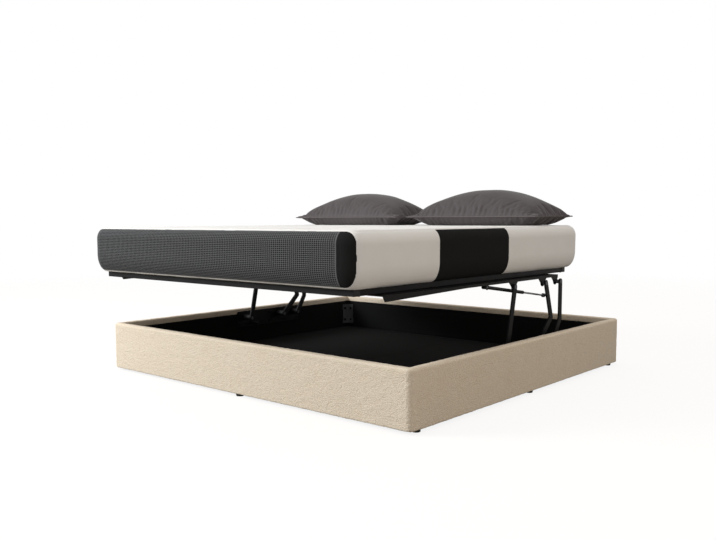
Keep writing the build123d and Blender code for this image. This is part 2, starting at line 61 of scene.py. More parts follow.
MATTRESS_CORNER_RADIUS = 0.075
SIDE_BULGE = 0.008
EDGE_TOP = (0.050, 0.062)
EDGE_BOTTOM = (0.052, 0.095)
NET_ACROSS, NET_UP = 0.0122, 0.0086
NET_DEPTH = 0.0040
FOOT_SEAM = 0.024
# Past this x the mattress foot is black cloth instead of net, on the near corner only: painted shade
# where that corner turns from the light.
SHADE_STRIP_START = 0.87
STRIPE_START, STRIPE_END = -0.677, -0.057
TOP_SEAM_DROP = 0.007
SEAM_DEPTH = 0.0016
SEAM_WIDTH = 0.003
NET_FADE = 0.006
ROUND_STEP = 0.010
SIDE_WAVE_HEIGHT, SIDE_WAVE_SIZE = 0.0016, 0.16
TOP_WAVE_HEIGHT, TOP_WAVE_SIZE, TOP_WAVE_SINK = 0.0012, 0.22, 0.0006
TOP_RINGS = 24

PILLOW_WIDTH, PILLOW_DEPTH, PILLOW_HEIGHT = 0.88, 0.45, 0.205
PILLOW_SEAM = 0.052
PILLOW_DRAW = 0.026
PILLOW_CREST_SHIFT = 0.04
PIPING_RADIUS = 0.0028
SIMULATED_FRAMES = 20
FARTHEST_MOVE = 0.009
LEAST_CLEARANCE = 0.0004
PILLOW_GRID = (88, 46)
SIDE_FOLD_HEIGHT, SIDE_FOLD_PITCH, SIDE_FOLD_REACH = 0.0075, 0.036, 0.040
END_FOLD_HEIGHT, END_FOLD_PITCH, END_FOLD_REACH = 0.004, 0.045, 0.030
FOLD_WANDER_HEIGHT, FOLD_WANDER_SIZE = 0.018, 0.10
FOLD_UNEVEN_SIZE = 0.07
SLACK_HEIGHT, SLACK_SIZE = 0.0025, 0.12

WELD_RADIUS, WELD_STAND_OFF = 0.0022, 0.0012
CAP_CORNER_RADIUS = 0.003
TUBE_CORNER_RADIUS = 0.004


# Meshes

def new_piece(name, points, faces, body):
    mesh = bpy.data.meshes.new(name)
    mesh.from_pydata([tuple(p) for p in points], [], faces)
    mesh.shade_smooth()
    piece = bpy.data.objects.new(name, mesh)
    bpy.context.scene.collection.objects.link(piece)
    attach(piece, body)
    return piece


def grid_faces(columns, rows, loop_columns=False, loop_rows=False):
    """Quads of a grid whose points are stored column by column."""
    faces = []
    for column in range(columns if loop_columns else columns - 1):
        following = (column + 1) % columns
        for row in range(rows if loop_rows else rows - 1):
            above = (row + 1) % rows
            faces.append((column * rows + row, following * rows + row,
                          following * rows + above, column * rows + above))
    return faces


def grid_normals(points, loop_columns, loop_rows):
    """Unit normals of a grid of points, with or without wrapping round at its ends."""
    slopes = []
    for axis, loop in ((0, loop_columns), (1, loop_rows)):
        if loop:
            slopes.append(np.roll(points, -1, axis) - np.roll(points, 1, axis))
        else:
            slopes.append(np.gradient(points, axis=axis))
    normals = np.cross(slopes[0], slopes[1])
    return normals / np.maximum(np.linalg.norm(normals, axis=2, keepdims=True), 1e-12)


def lumps(points, size, seed=0.0):
    """Smooth noise from -1 to 1 at each point of an array, with lumps of that size."""
    flat = points.reshape(-1, 3) / size + seed
    values = [noise.noise(Vector(p)) for p in flat]
    return np.array(values).reshape(points.shape[:-1])


def arc_steps(count):
    return [step * pi / 2 / count for step in range(count + 1)]


# Materials

class Look:
    """One procedural material: a Principled shader and the nodes that feed it."""

    def __init__(self, name, color, roughness, **values):
        self.material = bpy.data.materials.new(name)
        self.material.use_nodes = True
        self.nodes = self.material.node_tree.nodes
        self.links = self.material.node_tree.links
        self.shader = self.nodes["Principled BSDF"]
        self.shader.inputs["Base Color"].default_value = (*color, 1)
        self.shader.inputs["Roughness"].default_value = roughness
        for socket, value in values.items():
            self.shader.inputs[socket.replace("_", " ")].default_value = value
        self.height = None
        self.place = self.nodes.new("ShaderNodeTexCoord").outputs["Object"]

    def node(self, kind, **settings):
        made = self.nodes.new(kind)
        for key, value in settings.items():
            setattr(made, key, value)
        return made

    def put(self, socket, value):
        if isinstance(value, bpy.types.NodeSocket):
            self.links.new(value, socket)
        else:
            socket.default_value = value

    def math(self, operation, a, b=0.0, clamp=False):
        made = self.node("ShaderNodeMath", operation=operation, use_clamp=clamp)
        self.put(made.inputs[0], a)
        self.put(made.inputs[1], b)
        return made.outputs[0]

    def stretched(self, scale):
        made = self.node("ShaderNodeVectorMath", operation="MULTIPLY")
        self.put(made.inputs[0], self.place)
        self.put(made.inputs[1], scale)
        return made.outputs[0]

    def noise(self, scale, detail=2.0, roughness=0.5, place=None):
        made = self.node("ShaderNodeTexNoise")
        self.put(made.inputs["Vector"], place or self.place)
        self.put(made.inputs["Scale"], scale)
        self.put(made.inputs["Detail"], detail)
        self.put(made.inputs["Roughness"], roughness)
        return made.outputs["Fac"]

    def cells(self, scale, feature="F1", output="Distance", place=None):
        made = self.node("ShaderNodeTexVoronoi", feature=feature)
        self.put(made.inputs["Vector"], place or self.place)
        self.put(made.inputs["Scale"], scale)
        return made.outputs[output]

    def waves(self, scale, direction, distortion=0.0, place=None):
        made = self.node("ShaderNodeTexWave", bands_direction=direction)
        self.put(made.inputs["Vector"], place or self.place)
        self.put(made.inputs["Scale"], scale)
        self.put(made.inputs["Distortion"], distortion)
        return made.outputs["Fac"]

    def spread(self, value, low, high, to_low=0.0, to_high=1.0):
        made = self.node("ShaderNodeMapRange")
        for socket, item in zip(made.inputs, (value, low, high, to_low, to_high)):
            self.put(socket, item)
        return made.outputs[0]

    def mix(self, share, a, b):
        made = self.node("ShaderNodeMix", data_type="RGBA")
        self.put(made.inputs[0], share)
        self.put(made.inputs[6], a)
        self.put(made.inputs[7], b)
        return made.outputs[2]

    def paint(self, color):
        self.put(self.shader.inputs["Base Color"], color)

    def rough(self, value):
        self.put(self.shader.inputs["Roughness"], value)

    def bump(self, height, distance, strength=1.0):
        made = self.node("ShaderNodeBump")
        self.put(made.inputs["Height"], height)
        self.put(made.inputs["Distance"], distance)
        self.put(made.inputs["Strength"], strength)
        if self.height is not None:
            self.put(made.inputs["Normal"], self.height)
        self.height = made.outputs[0]
        self.put(self.shader.inputs["Normal"], self.height)


def linear(*srgb):
    """A linear colour from sRGB values of 0 to 255."""
    return tuple((v / 255 / 12.92) if v <= 10 else ((v / 255 + 0.055) / 1.055) ** 2.4 for v in srgb)


def rgb(*srgb):
    """The same colour with full opacity, as colour sockets take it."""
    return (*linear(*srgb), 1)


def boucle_look():
    look = Look("boucle cloth", linear(232, 220, 202), 0.95, Specular_IOR_Level=0.12,
                Sheen_Weight=0.1, Sheen_Roughness=0.6)
    wander = look.node("ShaderNodeTexNoise")
    look.put(wander.inputs["Vector"], look.place)
    look.put(wander.inputs["Scale"], 160.0)
    bend = look.node("ShaderNodeVectorMath", operation="MULTIPLY_ADD")
    look.put(bend.inputs[0], wander.outputs["Color"])
    look.put(bend.inputs[1], (0.004, 0.004, 0.004))
    look.put(bend.inputs[2], look.place)
    loops = look.cells(210.0, place=bend.outputs[0])
    pits = look.spread(loops, 0.25, 0.75)
    tone = look.mix(look.noise(9.0, 3.0), rgb(240, 225, 203), rgb(247, 235, 216))
    # The pits between the loops are painted darker and browner: painted shade in the hollows of the
    # bouclé.
    pits_painted_shade = look.mix(look.math("MULTIPLY", pits, 0.5), tone, rgb(212, 188, 160))
    look.paint(pits_painted_shade)
    look.bump(look.math("SUBTRACT", 1.0, pits), 0.0016, 0.9)
    look.bump(look.noise(420.0, 3.0, 0.7), 0.0005, 0.6)
    return look.material


def ticking_look():
    """White knit with a fine diagonal weave; the sides carry the black stripes and the dark foot."""
    look = Look("mattress ticking", linear(238, 235, 231), 0.9, Specular_IOR_Level=0.12)
    weave_a = look.waves(260.0, "DIAGONAL", 0.3)
    weave_b = look.waves(330.0, "Z", 0.3)
    weave = look.math("MULTIPLY", weave_a, weave_b)
    blotch = look.noise(6.0, 2.0)
    white = look.mix(blotch, rgb(236, 233, 229), rgb(242, 240, 237))
    white = look.mix(look.math("MULTIPLY", weave, 0.15), white, rgb(205, 198, 190))
    look.paint(white)
    look.bump(weave, 0.0004, 0.5)
    look.bump(look.noise(520.0, 2.0), 0.0003, 0.5)
    return look.material


def stripe_and_shade_strip_look():
    # The same black knit also covers the near foot corner of the mattress, as painted shade.
    look = Look("black stripe knit and painted shade strip", linear(30, 30, 30), 0.92, Specular_IOR_Level=0.08)
    weave = look.math("MULTIPLY", look.waves(330.0, "Y", 0.3), look.waves(330.0, "Z", 0.3))
    look.paint(look.mix(weave, rgb(34, 34, 34), rgb(22, 22, 22)))
    look.bump(weave, 0.0004, 0.6)
    return look.material


def mesh_look():
    look = Look("foot mesh", linear(100, 100, 100), 0.85, Specular_IOR_Level=0.1,
                Sheen_Weight=0.05, Sheen_Roughness=0.5)
    fine = look.noise(700.0, 2.0, 0.6)
    rib = look.mix(fine, rgb(86, 86, 87), rgb(114, 114, 115))
    hole = look.node("ShaderNodeAttribute", attribute_name="hole").outputs["Fac"]
    # The holes are painted near black: painted shade down inside the net's holes.
    look.paint(look.mix(look.spread(hole, 0.15, 0.75), rib, rgb(14, 14, 14)))
    look.bump(fine, 0.0003, 0.6)
    return look.material


def sateen_look():
    look = Look("pillow sateen", linear(104, 97, 97), 0.6, Specular_IOR_Level=0.25,
                Sheen_Weight=0.15, Sheen_Roughness=0.35)
    thread = look.stretched((1.0, 6.0, 6.0))
    fine = look.noise(420.0, 2.0, 0.6, place=thread)
    tone = look.noise(5.0, 2.0)
    cloth = look.mix(tone, rgb(73, 67, 68), rgb(83, 77, 78))
    look.paint(look.mix(look.math("MULTIPLY", fine, 0.3), cloth, rgb(60, 55, 55)))
    look.bump(fine, 0.0002, 0.4)
    return look.material


def piping_look():
    look = Look("pillow piping", linear(112, 105, 105), 0.6, Specular_IOR_Level=0.25)
    # The cord is painted lighter than the pillow cloth and lightest on its raised twist: a painted
    # highlight along the seam.
    twist_and_painted_highlight = look.waves(90.0, "X", 0.4)
    look.paint(look.mix(twist_and_painted_highlight, rgb(84, 78, 78), rgb(112, 105, 104)))
    look.bump(twist_and_painted_highlight, 0.0004, 0.5)
    return look.material


def coated_steel_look(name, color, roughness):
    look = Look(name, linear(*color), roughness, Specular_IOR_Level=0.2)
    grain = look.noise(900.0, 2.0, 0.6)
    wear = look.noise(14.0, 3.0, 0.6)
    lighter = tuple(v + 8 for v in color)
    look.paint(look.mix(wear, rgb(*color), rgb(*lighter)))
    look.rough(look.spread(wear, 0.2, 0.8, roughness - 0.08, roughness + 0.1))
    look.bump(grain, 0.0002, 0.35)
    return look.material


def bare_steel_look(name, color, roughness, scale):
    look = Look(name, linear(*color), roughness, Metallic=1.0)
    streaks = look.noise(scale, 3.0, 0.6, place=look.stretched((1.0, 1.0, 8.0)))
    look.rough(look.spread(streaks, 0.2, 0.8, roughness - 0.08, roughness + 0.12))
    duller = tuple(v * 0.86 for v in color)
    look.paint(look.mix(streaks, rgb(*color), rgb(*duller)))
    look.bump(streaks, 0.0001, 0.3)
    return look.material


def plywood_look():
    look = Look("slat plywood", linear(206, 178, 138), 0.5)
    grain = look.noise(22.0, 6.0, 0.65, place=look.stretched((0.7, 14.0, 14.0)))
    lines = look.waves(9.0, "Y", 6.0, place=look.stretched((0.3, 6.0, 1.0)))
    wood = look.mix(grain, rgb(222, 196, 158), rgb(182, 146, 102))
    wood = look.mix(look.math("MULTIPLY", lines, 0.25), wood, rgb(160, 122, 80))
    look.paint(wood)
    look.rough(look.spread(grain, 0.3, 0.7, 0.42, 0.6))
    look.bump(grain, 0.0003, 0.3)
    return look.material


def particle_board_look(name, color, dark):
    look = Look(name, linear(*color), 0.8)
    chips = look.cells(160.0, output="Color")
    bright = look.node("ShaderNodeSeparateColor")
    look.put(bright.inputs[0], chips)
    look.paint(look.mix(bright.outputs[0], rgb(*color), rgb(*dark)))
    look.bump(bright.outputs[0], 0.0004, 0.4)
    return look.material


def felt_look(name, color):
    """Non-woven lining: short fibres pressed flat in small dimples."""
    look = Look(name, linear(*color), 0.95, Specular_IOR_Level=0.1)
    fibres = look.noise(600.0, 4.0, 0.75)
    dimples = look.cells(330.0)
    lighter = tuple(v + 14 for v in color)
    look.paint(look.mix(fibres, rgb(*color), rgb(*lighter)))
    look.bump(dimples, 0.0004, 0.5)
    look.bump(fibres, 0.0003, 0.5)
    return look.material


def plastic_look(name, color, roughness):
    look = Look(name, linear(*color), roughness)
    grain = look.noise(800.0, 2.0)
    lighter = tuple(v + 8 for v in color)
    look.paint(look.mix(look.noise(30.0, 2.0), rgb(*color), rgb(*lighter)))
    look.rough(look.spread(grain, 0.3, 0.7, roughness - 0.05, roughness + 0.08))
    look.bump(grain, 0.0001, 0.4)
    return look.material


# Base covers

def cover_section(rim, bottom):
    """Depth in from the outer face and height, once round the cloth: outside, rim, inside, back."""
    fold = HEM_RADIUS
    shown = [(fold - fold * cos(a), bottom + fold - fold * sin(a)) for a in reversed(arc_steps(3))]
    start, end = bottom + fold, rim - OUTER_EDGE_RADIUS
    steps = round((end - start) / COVER_STEP)
    shown += [(0.0, start + (end - start) * i / steps) for i in range(1, steps)]
    radius = OUTER_EDGE_RADIUS
    shown += [(radius * (1 - cos(a)), end + radius * sin(a)) for a in arc_steps(6)]
    radius = INNER_EDGE_RADIUS
    flat = LINING_DEPTH - radius
    shown += [(OUTER_EDGE_RADIUS + (flat - OUTER_EDGE_RADIUS) * i / 5, rim) for i in range(1, 5)]
    shown += [(flat + radius * sin(a), rim - radius * (1 - cos(a))) for a in arc_steps(5)]
    low = rim - TURN_IN
    drop = rim - radius
    shown += [(LINING_DEPTH, drop + (low + 0.002 - drop) * i / 7) for i in range(1, 8)]
    hidden = [(LINING_DEPTH - 0.002, low), (BOARD_DEPTH, low), (BOARD_DEPTH, rim - COVER_THICKNESS),
              (COVER_THICKNESS, rim - COVER_THICKNESS), (COVER_THICKNESS, bottom)]
    return shown, hidden


def base_cover(name, turn, half_out, half_along, rim, bottom, material):
    """One wall's cloth, from mitre to mitre. turn is the angle from the foot wall, about +Z."""
    shown, hidden = cover_section(rim, bottom)
    section = shown + hidden
    straight = round(2 * (half_along - CORNER_RADIUS) / COVER_STEP)
    columns = [(-1.0, -radians(45) * (1 - i / 8)) for i in range(8)]
    columns += [(-1 + 2 * i / straight, 0.0) for i in range(straight + 1)]
    columns += [(1.0, radians(45) * (i + 1) / 8) for i in range(8)]
    points = np.zeros((len(columns), len(section), 3))
    for c, (share, angle) in enumerate(columns):
        for r, (depth, height) in enumerate(section):
            radius = max(CORNER_RADIUS - depth, LEAST_RADIUS)
            inset = depth + radius
            along = share * (half_along - inset) + radius * sin(angle)
            out = half_out - inset + radius * cos(angle)
            points[c, r] = (along, -out, height)
    matrix = np.array(Matrix.Rotation(turn, 3, "Z"))
    points = points @ matrix.T
    normals = grid_normals(points, False, True)
    push = (FINE_LUMP_HEIGHT * lumps(points, FINE_LUMP_SIZE)
            + COARSE_LUMP_HEIGHT * lumps(points, COARSE_LUMP_SIZE, 7.0) - LUMP_SINK)
    edge = np.array([min(abs(c), abs(len(columns) - 1 - c)) for c in range(len(columns))])
    push -= MITRE_DEPTH * np.exp(-(edge[:, None] / 1.2) ** 2)
    push[:, len(shown):] = 0.0
    points = points + normals * push[:, :, None]
    rows = len(section)
    faces = grid_faces(len(columns), rows, loop_rows=True)
    faces.append(tuple(range(rows - 1, -1, -1)))
    last = (len(columns) - 1) * rows
    faces.append(tuple(range(last, last + rows)))
    piece = new_piece(f"boucle_{name}", points.reshape(-1, 3), faces, "base")
    piece.data.set_sharp_from_angle(angle=radians(50))
    piece.data.materials.append(material)
    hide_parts(f"cover_{name}")


def base_covers():
    low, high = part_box("cover_foot")
    half_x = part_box("cover_right")[1].x
    half_y = -low.y
    cloth = boucle_look()
    walls = (("foot", 0, half_y, half_x), ("right", 90, half_x, half_y),
             ("head", 180, half_y, half_x), ("left", 270, half_x, half_y))
    for name, turn, half_out, half_along in walls:
        base_cover(name, radians(turn), half_out, half_along, high.z, low.z, cloth)


# Mattress

def mattress_section(height, fine):
    """Draw-in and height up the side of the mattress, from its underside to its top."""
    top_in, top_up = EDGE_TOP
    low_in, low_up = EDGE_BOTTOM
    section = []
    steps = max(4, round(1.4 * low_up / fine))
    for i in range(steps + 1):
        a = pi / 2 * i / steps
        section.append((low_in * (1 - sin(a)), low_up * (1 - cos(a))))
    start, end = low_up, height - top_up
    steps = round((end - start) / fine)
    section += [(0.0, start + (end - start) * i / steps) for i in range(1, steps)]
    steps = max(4, round(1.3 * top_up / fine))
    for i in range(steps + 1):
        a = pi / 2 * i / steps
        section.append((top_in * (1 - cos(a)), end + top_up * sin(a)))
    return [(draw - SIDE_BULGE, z) for draw, z in section]


def mattress_outline(half_x, half_y, stripes, fine, coarse):
    """Columns round the mattress: which side, its direction, the place along it and the turn."""
    corner = MATTRESS_CORNER_RADIUS
    arc = corner * pi / 2
    columns = []
    close = [stripe + gap for stripe in stripes for gap in (-0.004, -0.002, 0, 0.002, 0.004)]
    sides = (((0, -1), half_x - corner, fine), ((1, 0), half_y - corner, coarse),
             ((0, 1), half_x - corner, coarse), ((-1, 0), half_y - corner, coarse))
    for out, half, step in sides:
        along = (-out[1], out[0])
        count = round(2 * half / step)
        places = [-half + 2 * half * i / count for i in range(count + 1)]
        if out[0]:
            seams = [out[0] * y for y in close]
            places = [s for s in places if min(abs(s - seam) for seam in seams) > 0.003]
            places = sorted(places + seams)
        columns += [(out, along, s, 0.0) for s in places]
        count = round(arc / fine)
        columns += [(out, along, half, pi / 2 * i / count) for i in range(1, count)]
    return columns


def mattress_points(columns, section, half_x, half_y, middle, bottom):
    """The grid of points round the mattress, and how far along its waist each column stands."""
    corner = MATTRESS_CORNER_RADIUS
    points = np.zeros((len(columns), len(section), 3))
    travel = 0.0
    run = []
    for c, (out, along, place, angle) in enumerate(columns):
        half_out = half_x if out[0] else half_y
        for r, (draw, z) in enumerate(section):
            radius = corner - draw
            u = place + radius * sin(angle)
            v = half_out - corner + radius * cos(angle)
            points[c, r] = (out[0] * v + along[0] * u + middle.x,
                            out[1] * v + along[1] * u + middle.y, z + bottom)
        at = points[c, len(section) // 2]
        if c:
            travel += float(np.linalg.norm(at - previous))
        previous = at
        run.append(travel)
    return points, np.array(run)


def net_holes(run, section):
    """Depth share of the net's small holes between its ribs, for each column and row."""
    climb = [0.0]
    for (d0, z0), (d1, z1) in zip(section, section[1:]):
        climb.append(climb[-1] + ((d1 - d0) ** 2 + (z1 - z0) ** 2) ** 0.5)
    cell_u = np.abs((run / NET_ACROSS) % 1.0 - 0.5) * 2
    cell_v = np.abs((np.array(climb) / NET_UP) % 1.0 - 0.5) * 2
    return np.clip(1.5 - 1.5 * (cell_u[:, None] ** 3 + cell_v[None, :] ** 3) ** (1 / 3), 0, 1)


def dressed_border(points, hole, middle, half_x, seam_y, seam_z):
    """The border with its net, its seams pressed in and its slight waves, and the net's depth."""
    on_foot = (points[..., 1] < seam_y) & (points[..., 2] < seam_z)
    seam_gap = np.abs(points[..., 1] - seam_y)
    # The near foot corner past the strip start is the black painted shade strip; the net and its seam
    # stop at its edge.
    shade_strip_gap = np.abs(points[..., 0] - SHADE_STRIP_START)
    netted = on_foot & (points[..., 0] < SHADE_STRIP_START)
    hole = hole * netted * np.clip(np.minimum(seam_gap, shade_strip_gap) / NET_FADE - 0.5, 0, 1)
    top_gap = np.abs(points[..., 2] - seam_z)
    dents = np.exp(-(seam_gap / SEAM_WIDTH) ** 2) + np.exp(-(top_gap / SEAM_WIDTH) ** 2)
    dents += on_foot * np.exp(-(shade_strip_gap / SEAM_WIDTH) ** 2)
    on_side = np.abs(points[..., 0] - middle.x) > half_x - MATTRESS_CORNER_RADIUS
    for stripe in (STRIPE_START, STRIPE_END):
        dents += on_side * np.exp(-((points[..., 1] - stripe) / SEAM_WIDTH) ** 2)
    push = -NET_DEPTH * hole - SEAM_DEPTH * np.minimum(dents, 1.0)
    push += SIDE_WAVE_HEIGHT * lumps(points, SIDE_WAVE_SIZE) * (1 - on_foot)
    return points + grid_normals(points, True, False) * push[..., None], hole


def top_sheet(edge, middle, height):
    """Rings of points from the border's upper edge towards the middle of the top."""
    centre = np.array((middle.x, middle.y, height))
    sheet = []
    for i in range(1, TOP_RINGS):
        ring = centre + (edge - centre) * (1 - i / TOP_RINGS)
        ring[:, 2] = height
        sheet.append(ring)
    sheet = np.stack(sheet, axis=1)
    sheet[..., 2] += TOP_WAVE_HEIGHT * lumps(sheet, TOP_WAVE_SIZE, 3.0) - TOP_WAVE_SINK
    return sheet


def make_mattress():
    low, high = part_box("mattress")
    middle = (low + high) / 2
    half_x, half_y = (high.x - low.x) / 2, (high.y - low.y) / 2
    fine = NET_UP / 4
    section = mattress_section(high.z - low.z, fine)
    stripes = [STRIPE_START - middle.y, STRIPE_END - middle.y]
    columns = mattress_outline(half_x, half_y, stripes, fine, ROUND_STEP)
    points, run = mattress_points(columns, section, half_x, half_y, middle, low.z)
    seam_y, seam_z = low.y + FOOT_SEAM, high.z - TOP_SEAM_DROP
    points, hole = dressed_border(points, net_holes(run, section), middle, half_x, seam_y, seam_z)
    whole = np.concatenate((points, top_sheet(points[:, -1], middle, high.z)), axis=1)
    rows = whole.shape[1]
    faces = grid_faces(len(columns), rows, loop_columns=True)
    flat = [tuple(p) for p in whole.reshape(-1, 3)]
    flat.append((middle.x, middle.y, high.z))
    peak = len(flat) - 1
    for c in range(len(columns)):
        faces.append((c * rows + rows - 1, ((c + 1) % len(columns)) * rows + rows - 1, peak))
    faces.append(tuple(c * rows for c in range(len(columns) - 1, -1, -1)))
    piece = new_piece("mattress_cover", flat, faces, "platform")
    depth = np.zeros(len(flat))
    depth[:-1].reshape(len(columns), rows)[:, :len(section)] = hole
    piece.data.attributes.new("hole", "FLOAT", "POINT").data.foreach_set("value", depth)
    for look in (ticking_look(), stripe_and_shade_strip_look(), mesh_look()):
        piece.data.materials.append(look)
    side_start = half_x - MATTRESS_CORNER_RADIUS
    for face in piece.data.polygons:
        at = face.center
        if low.z + 0.0005 < at.z < seam_z:
            if at.y < seam_y:
                # Foot faces beyond the strip start take the black cloth, painted shade on the near
                # corner; the rest of the foot takes the net.
                face.material_index = 2 if at.x < SHADE_STRIP_START else 1
            elif abs(at.x - middle.x) > side_start and STRIPE_START < at.y < STRIPE_END:
                face.material_index = 1
    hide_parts("mattress")


# Pillows

def pillow_sheets(across, deep):
    """Points of the lower and the upper sheet, which meet at the seam round their edges."""
    half_w, half_d = PILLOW_WIDTH / 2, PILLOW_DEPTH / 2
    u, v = [np.sin(pi / 2 * np.linspace(-1, 1, n + 1)) * 0.35 + np.linspace(-1, 1, n + 1) * 0.65
            for n in (across, deep)]
    u, v = np.meshgrid(u, v, indexing="ij")
    x = u * (half_w - PILLOW_DRAW * (1 - v ** 2) * u ** 2)
    y = v * (half_d - PILLOW_DRAW * (1 - u ** 2) * v ** 2)
    full = (1 - u ** 2) ** 0.7 * (1 - v ** 2) ** 0.5
    lower = np.stack((x, y, PILLOW_SEAM * (1 - np.minimum(1.0, full * 1.9))), axis=2)
    rise = PILLOW_HEIGHT - PILLOW_SEAM
    upper = np.stack((x, y + PILLOW_CREST_SHIFT * full, PILLOW_SEAM + rise * full), axis=2)
    return np.stack((lower, upper))


def sheet_indices(across, deep):
    """The number of each point of both sheets, one number for the two where they are sewn."""
    numbers = np.zeros((2, across + 1, deep + 1), dtype=int)
    numbers[0] = np.arange((across + 1) * (deep + 1)).reshape(across + 1, deep + 1)
    numbers[1] = numbers[0]
    inside = (across - 1) * (deep - 1)
    numbers[1, 1:-1, 1:-1] = np.arange(inside).reshape(across - 1, deep - 1) + numbers[0].size
    return numbers


def sewn(sheets):
    """Points, faces and the ring of seam points of two sheets sewn together."""
    across, deep = sheets.shape[1] - 1, sheets.shape[2] - 1
    numbers = sheet_indices(across, deep)
    points = np.zeros((numbers.max() + 1, 3))
    points[numbers] = sheets
    faces = []
    for sheet in (0, 1):
        n = numbers[sheet]
        quads = np.stack((n[:-1, :-1], n[1:, :-1], n[1:, 1:], n[:-1, 1:]), axis=2).reshape(-1, 4)
        faces += [tuple(int(i) for i in (quad if sheet else quad[::-1])) for quad in quads]
    n = numbers[0]
    ring = [*n[:-1, 0], *n[-1, :-1], *n[:0:-1, -1], *n[0, :0:-1]]
    return points, faces, ring


def halved(line_count):
    """Matrix that puts a point halfway between each two of a row, on a smooth curve."""
    size = 2 * line_count - 1
    matrix = np.zeros((size, line_count))
    for i in range(line_count):
        matrix[2 * i, i] = 1
    for i in range(line_count - 1):
        before, after = max(i - 1, 0), min(i + 2, line_count - 1)
        for place, weight in ((before, -0.0625), (i, 0.5625), (i + 1, 0.5625), (after, -0.0625)):
            matrix[2 * i + 1, place] += weight
    return matrix


def inflated(sheets):
    """The sheets after a cloth simulation: the case is a little larger than its seam and blown up."""
    points, faces, ring = sewn(sheets)
    mesh = bpy.data.meshes.new("blown")
    mesh.from_pydata([tuple(p) for p in points], [], faces)
    case = bpy.data.objects.new("blown", mesh)
    bpy.context.scene.collection.objects.link(case)
    held = case.vertex_groups.new(name="seam")
    held.add([int(i) for i in ring], 1.0, "REPLACE")
    cloth = case.modifiers.new("cloth", "CLOTH")
    cloth.settings.quality = 5
    cloth.settings.mass = 0.2
    cloth.settings.tension_stiffness = 12
    cloth.settings.compression_stiffness = 6
    cloth.settings.shear_stiffness = 4
    cloth.settings.bending_stiffness = 0.05
    cloth.settings.use_pressure = True
    cloth.settings.uniform_pressure_force = 1.5
    cloth.settings.shrink_min = -0.025
    cloth.settings.vertex_group_mass = "seam"
    cloth.settings.effector_weights.gravity = 0
    cloth.point_cache.frame_end = SIMULATED_FRAMES
    scene = bpy.context.scene
    for step in range(1, SIMULATED_FRAMES + 1):
        scene.frame_set(step)
    blown = case.evaluated_get(bpy.context.evaluated_depsgraph_get()).to_mesh()
    moved = np.zeros(len(points) * 3)
    blown.vertices.foreach_get("co", moved)
    move = moved.reshape(-1, 3) - points
    far = np.linalg.norm(move, axis=1, keepdims=True)
    move *= np.minimum(1.0, FARTHEST_MOVE / np.maximum(far, 1e-9))
    points = points + move
    points[:, 2] = np.maximum(points[:, 2], LEAST_CLEARANCE)
    scene.frame_set(1)
    bpy.data.objects.remove(case)
    numbers = sheet_indices(sheets.shape[1] - 1, sheets.shape[2] - 1)
    return points[numbers]


def gathered(sheets, seed):
    """Puckers of the cloth along the seam, deepest on the two long sides."""
    result = []
    for sheet, points in enumerate(sheets):
        across, deep = points.shape[0] - 1, points.shape[1] - 1
        normals = grid_normals(points, False, False) * (1 if sheet else -1)
        x, y = points[..., 0], points[..., 1]
        to_side = np.minimum(np.arange(deep + 1), deep - np.arange(deep + 1))[None, :]
        to_end = np.minimum(np.arange(across + 1), across - np.arange(across + 1))[:, None]
        step_x, step_y = PILLOW_WIDTH / across, PILLOW_DEPTH / deep
        side = np.exp(-(to_side * step_y / SIDE_FOLD_REACH) ** 1.6) * np.minimum(to_side / 2.0, 1)
        end = np.exp(-(to_end * step_x / END_FOLD_REACH) ** 1.6) * np.minimum(to_end / 2.0, 1)
        warp = FOLD_WANDER_HEIGHT * lumps(points, FOLD_WANDER_SIZE, seed)
        fold_x = np.abs(np.sin(pi * (x + warp) / SIDE_FOLD_PITCH)) ** 0.8 - 0.6
        fold_y = np.abs(np.sin(pi * (y + warp) / END_FOLD_PITCH)) ** 0.8 - 0.6
        uneven = 0.7 + 0.6 * lumps(points, FOLD_UNEVEN_SIZE, seed + 5)
        push = SIDE_FOLD_HEIGHT * side * fold_x + END_FOLD_HEIGHT * end * fold_y
        push = push * uneven * (1 if sheet else 0.6)
        slack = SLACK_HEIGHT * lumps(points, SLACK_SIZE, seed + 9)
        push = push + slack * np.minimum(to_side / 6, 1) * np.minimum(to_end / 6, 1)
        moved = points + normals * push[..., None]
        moved[..., 2] = np.maximum(moved[..., 2], LEAST_CLEARANCE)
        result.append(moved)
    return np.stack(result)


def make_pillow(side, cloth, piping, seed):
    low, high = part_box(f"pillow_{side}")
    middle = np.array(((low.x + high.x) / 2, high.y - PILLOW_DEPTH / 2, low.z))
    sheets = inflated(pillow_sheets(*PILLOW_GRID))
    finer_x, finer_y = halved(sheets.shape[1]), halved(sheets.shape[2])
    sheets = np.einsum("ai,bj,sijk->sabk", finer_x, finer_y, sheets)
    sheets = gathered(sheets, seed)
    points, faces, ring = sewn(sheets)
    points = points + middle
    piece = new_piece(f"pillow_case_{side}", points, faces, "platform")
    piece.data.materials.append(cloth)
    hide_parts(f"pillow_{side}")
    tube(f"pillow_piping_{side}", points[ring], PIPING_RADIUS, "platform", piping)


def tube(name, path, radius, body, material, axis=(0.0, 0.0, 1.0), sides=8):
    """A closed round cord along a loop of points that lies about square to the axis."""
    path = np.array([tuple(p) for p in path])
    count = len(path)
    tangents = np.roll(path, -1, 0) - np.roll(path, 1, 0)
    tangents /= np.linalg.norm(tangents, axis=1, keepdims=True)
    across = np.cross(tangents, axis)
    across /= np.linalg.norm(across, axis=1, keepdims=True)
    upward = np.cross(across, tangents)
    rings = []
    for k in range(sides):
        a = 2 * pi * k / sides
        rings.append(path + radius * (cos(a) * across + sin(a) * upward))
    points = np.stack(rings, axis=1).reshape(-1, 3)
    piece = new_piece(name, points, grid_faces(count, sides, True, True), body)
    piece.data.materials.append(material)


# Platform details

